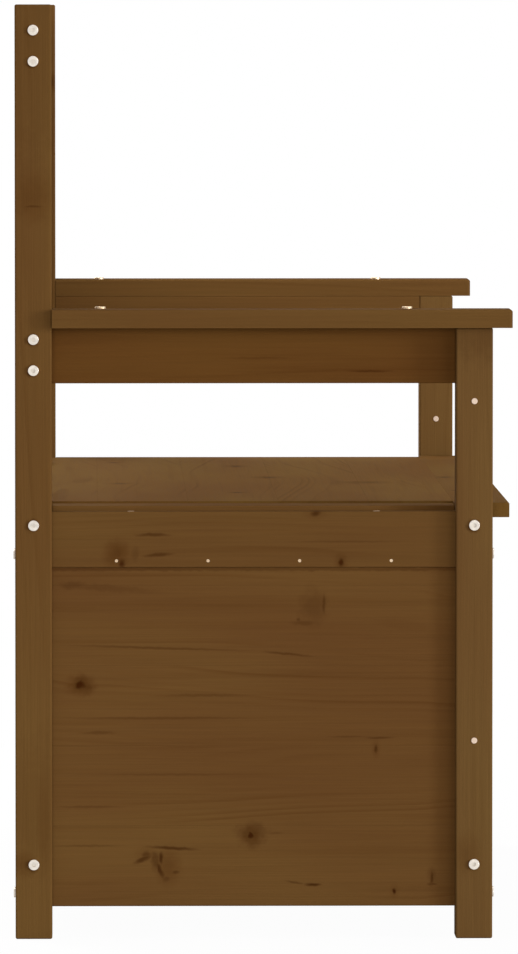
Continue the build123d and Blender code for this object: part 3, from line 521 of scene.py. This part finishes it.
# Backrest: two rails bolted between the back posts, with nine upright slats let into them by stub tenons.
# Slats are planed thinner than the rails and have rounder edges.
stain("backrest_rail_lower", "XZY", 58.2, 1.0, chance_marks(58, 490, 26, 5, 5))
stain("backrest_rail_upper", "XZY", 61.9, 1.04, chance_marks(61, 490, 26, 5, 5))
slat_tones = (1.02, 0.95, 1.06, 1.0, 0.97, 1.05, 0.99, 1.03, 0.96)
for number, tone in enumerate(slat_tones, start=1):
    marks = chance_marks(70 + number, 120, 30, 2, 2)
    stain(f"backrest_slat_{number}", "ZXY", 63.5 + 3.3 * number, tone, marks)


# Arms: a rail on dowels between the posts, flush with them inside, and a flat armrest bolted down on it. The
# armrest is rounded over along its top edges and proud of the posts outside and in front.
arm_rail_marks = [(-4, -3, 40, 1.6, 0.3, 0.0), (-120, -16.5, 26, 1.4, 0.6, 0.0)]
# The left arm rail's low tone and red tint paint the shade under the armrest.
stain("arm_rail_left", "YZX", 97.1, 0.87, arm_rail_marks, figure=0.7, tint=(1.0, 0.88, 0.72))
stain("arm_rail_right", "YZX", 99.4, 1.05, chance_marks(99, 190, 26, 1, 2), figure=0.5)
stain("armrest_left", "YXZ", 101.8, 0.95, chance_marks(101, 220, 18, 2, 2), figure=0.5)
stain("armrest_right", "YXZ", 103.2, 1.03, chance_marks(103, 220, 18, 2, 2), figure=0.5)


# Seat: two fixed strips beside a lid. The lid is a glued panel with a longer front board, whose tongue is
# glued into the panel's front edge and whose groove drops over the front rail. Three battens screwed on
# from below keep the panel flat.
seat_planks = make_glue_up("seat_planks", 0.094, 0.32)
lid_marks = [
    (266, 2.0, 14, 6, 0.6, 0.6),
    (-112, 133.0, 12, 8, 0.45, 0.4),
    (18, -29.0, 14, 9, 0.6, 0.5),
    (-91, -136.0, 16, 12, 0.3, 0.5),
    (-300, 9.6, 6, 5, 0.9, 0.8),
    (350, 139.0, 6, 5, 0.9, 0.8),
]
seat_tint = (1.0, 1.03, 0.88)
front_board_marks = [(18, 14.8, 12, 6, 0.6, 0.5), (-260, 12, 5, 4, 0.9, 0.8)]
# The left strip has the front post's shadow painted on near its front end.
stain("seat_strip_left", "YXZ", 106.7, 1.06, [(-190, -22, 24, 8, 0.18, 0.45)], figure=0.5)
stain("seat_strip_right", "YXZ", 108.5, 1.1, chance_marks(108, 170, 22, 2, 2), figure=0.7)
stain("lid_panel", "XYZ", 111.1, 1.13, lid_marks, seat_planks, figure=0.7, tint=seat_tint)
stain("lid_front_board", "XYZ", 113.6, 1.12, front_board_marks, figure=0.7, tint=seat_tint)
for number in range(1, 4):
    marks = chance_marks(115 + number, 180, 26, 2, 2)
    stain(f"lid_batten_{number}", "YXZ", 115.2 + 2.1 * number, 0.97, marks)


# Dowels: smooth pegs of pale unstained wood, glued into the posts and boards, so none of them shows.
bare_wood, bare_tree = new_material("bare_wood")
peg_place = wire(bare_tree, "TexCoord", {}).outputs["Object"]
peg_fleck = fade(bare_tree, patches(bare_tree, peg_place, (420.0, 420.0, 420.0), 3.0), 0.35, 0.75)
peg_colour = mix_colour(bare_tree, peg_fleck, paint(206, 170, 126), paint(176, 134, 90))
finish_wood(bare_tree, peg_colour, reckon(bare_tree, "MULTIPLY_ADD", peg_fleck, 0.15, 0.5), peg_fleck, 0.2)
wear("dowels", bare_wood)


# Metal: pressed and turned steel with bright zinc plating. Bolts have flat round heads with a hexagon socket
# and pull on slotted barrel nuts; screws have small countersunk heads with a cross recess.


def plate(name, bright, dull, shine):
    """Zinc plating: a faint mottle in its colour and shine, and a fine pressed texture."""
    material, tree = new_material(name)
    where = wire(tree, "TexCoord", {}).outputs["Object"]
    mottle = patches(tree, where, (260.0, 260.0, 260.0), 2.0)
    grit = patches(tree, where, (2600.0, 2600.0, 2600.0), 2.0)
    colour = mix_colour(tree, fade(tree, mottle, 0.3, 0.7), bright, dull)
    rough = reckon(tree, "MULTIPLY_ADD", mottle, 0.18, shine)
    normal = wire(tree, "Bump", {"Strength": 0.12, "Distance": 0.0001, "Height": grit}).outputs[0]
    shader = wire(
        tree,
        "BsdfPrincipled",
        {"Base Color": colour, "Metallic": 1.0, "Roughness": rough, "Normal": normal},
    )
    wire(tree, "OutputMaterial", {"Surface": shader.outputs[0]})
    return material


bright_zinc = plate("bright_zinc", paint(233, 224, 211), paint(213, 205, 195), 0.32)
for node in ("frame_bolts", "barrel_nuts"):
    wear(node, bright_zinc)
warm_zinc = plate("warm_zinc", paint(236, 212, 180), paint(214, 186, 150), 0.34)
wear("armrest_bolts", warm_zinc)
for use in ("rail", "bearer", "strip", "batten", "floor", "cleat"):
    wear(f"{use}_screws", warm_zinc)


# Hinges: three butt hinges folded from thin plated sheet, one leaf screwed to the back rail and one to the
# lid's back edge, with five knuckles round a steel pin.
hinge_zinc = plate("hinge_zinc", paint(222, 216, 204), paint(198, 192, 182), 0.3)
wear("hinge_pins", hinge_zinc)
for kind in ("leaves", "screws"):
    for leaf in ("fixed", "lid"):
        wear(f"hinge_{kind}_{leaf}", hinge_zinc)


# Hole caps: small cream plastic discs on stems, pushed into the spare bolt holes of the front posts.
cream_plastic, cap_tree = new_material("cream_plastic")
cap_place = wire(cap_tree, "TexCoord", {}).outputs["Object"]
cap_mottle = patches(cap_tree, cap_place, (500.0, 500.0, 500.0), 2.0)
cap_colour = mix_colour(cap_tree, cap_mottle, paint(230, 206, 185), paint(220, 194, 172))
cap_relief = wire(cap_tree, "Bump", {"Strength": 0.1, "Distance": 0.0001, "Height": cap_mottle}).outputs[0]
cap_shader = wire(
    cap_tree,
    "BsdfPrincipled",
    {
        "Base Color": cap_colour,
        "Roughness": reckon(cap_tree, "MULTIPLY_ADD", cap_mottle, 0.15, 0.32),
        "Normal": cap_relief,
    },
)
wire(cap_tree, "OutputMaterial", {"Surface": cap_shader.outputs[0]})
wear("hole_caps", cream_plastic)


# Camera: a long lens level with the top of the back, about ten metres off the bench's left end, turned
# down a little to take in the feet.
camera = bpy.data.objects.new("camera", bpy.data.cameras.new("camera"))
bpy.context.scene.collection.objects.link(camera)
camera.location = (-10.155, 0.1795, 0.961)
aim = Vector((-0.5525, 0.0039, 0.4781))
camera.rotation_euler = (aim - camera.location).to_track_quat("-Z", "Y").to_euler()
camera.data.lens = 351.8
camera.data.sensor_width = 36.0
camera.data.clip_end = 200.0
bpy.context.scene.camera = camera


# Studio: a pale floor in an even white room, both plain white to the eye and in the metal's reflections. A
# far lamp shines from beside the camera, softboxes hang in front, off the front corner, overhead and
# behind, and the floor keeps a faint shadow round the feet.


def seen_by_eye(tree):
    """1 for what the camera sees, straight or by way of metal, and 0 for light that falls on the bench."""
    path = wire(tree, "LightPath", {}).outputs
    shown = reckon(tree, "MAXIMUM", path["Is Camera Ray"], path["Is Glossy Ray"])
    return reckon(tree, "MAXIMUM", shown, path["Is Transmission Ray"])


bpy.ops.object.select_all(action="DESELECT")
bpy.ops.mesh.primitive_plane_add(size=60.0)
floor = bpy.context.object
floor.name = "studio_floor"
floor_material, floor_tree = new_material("studio_floor")
floor_seen = seen_by_eye(floor_tree)
floor_colour = mix_colour(floor_tree, floor_seen, paint(200, 200, 198), paint(250, 250, 249))
floor_paint = wire(floor_tree, "BsdfPrincipled", {"Base Color": floor_colour, "Roughness": 0.8})
floor_glow = wire(floor_tree, "Emission", {"Color": (1.0, 1.0, 1.0, 1.0), "Strength": 1.0})
floor_place = wire(floor_tree, "TexCoord", {}).outputs["Object"]
from_bench = wire(floor_tree, "VectorMath", {0: floor_place}, operation="LENGTH").outputs["Value"]
shadow_end, plain_start = 0.7, 2.0
least_glow = 0.97
away = fade(floor_tree, from_bench, shadow_end, plain_start)
floor_white = reckon(floor_tree, "MULTIPLY_ADD", away, 1 - least_glow, least_glow)
floor_share = reckon(floor_tree, "MULTIPLY", floor_seen, floor_white)
floor_mix = wire(
    floor_tree,
    "MixShader",
    {0: floor_share, 1: floor_paint.outputs[0], 2: floor_glow.outputs[0]},
)
wire(floor_tree, "OutputMaterial", {"Surface": floor_mix.outputs[0]})
floor.data.materials.append(floor_material)

room = bpy.data.worlds.new("room")
bpy.context.scene.world = room
room.use_nodes = True
room_tree = room.node_tree
room_tree.nodes.clear()
room_light = wire(room_tree, "Background", {"Color": (1.0, 1.0, 1.0, 1.0), "Strength": 0.15})
room_seen = wire(room_tree, "Background", {"Color": (1.0, 1.0, 1.0, 1.0), "Strength": 1.0})
room_mix = wire(
    room_tree,
    "MixShader",
    {0: seen_by_eye(room_tree), 1: room_light.outputs[0], 2: room_seen.outputs[0]},
)
wire(room_tree, "OutputWorld", {"Surface": room_mix.outputs[0]})


def hang(name, lamp, place, target):
    """Hangs a lamp that the camera doesn't see, turned to a target."""
    held = bpy.data.objects.new(name, lamp)
    bpy.context.scene.collection.objects.link(held)
    held.location = place
    held.rotation_euler = (Vector(target) - held.location).to_track_quat("-Z", "Y").to_euler()
    held.visible_camera = False
    return held


def softbox(name, place, target, size, power):
    """A wide soft lamp."""
    lamp = bpy.data.lights.new(name, "AREA")
    lamp.shape = "RECTANGLE"
    lamp.size, lamp.size_y = size
    lamp.energy = power
    hang(name, lamp, place, target)


far_lamp = bpy.data.lights.new("far_lamp", "SUN")
far_lamp.energy = 1.45
far_lamp.angle = 0.4
hang("far_lamp", far_lamp, (-10.0, 0.6, 1.2), (-0.5, 0.0, 0.5)).visible_glossy = False
softbox("front_softbox", (-5.07, -11.1, 1.9), (-0.5, 0.0, 0.4), (2.1, 3.6), 640.0)
softbox("corner_softbox", (-9.1, -8.4, 2.8), (-0.5, 0.0, 0.4), (8.7, 5.4), 430.0)
softbox("top_softbox", (0.0, 0.0, 4.0), (0.0, 0.0, 0.0), (3.0, 3.0), 60.0)
softbox("back_softbox", (3.4, 3.4, 2.6), (0.0, 0.0, 0.5), (3.0, 3.0), 230.0)
bpy.context.scene.view_settings.view_transform = "Standard"
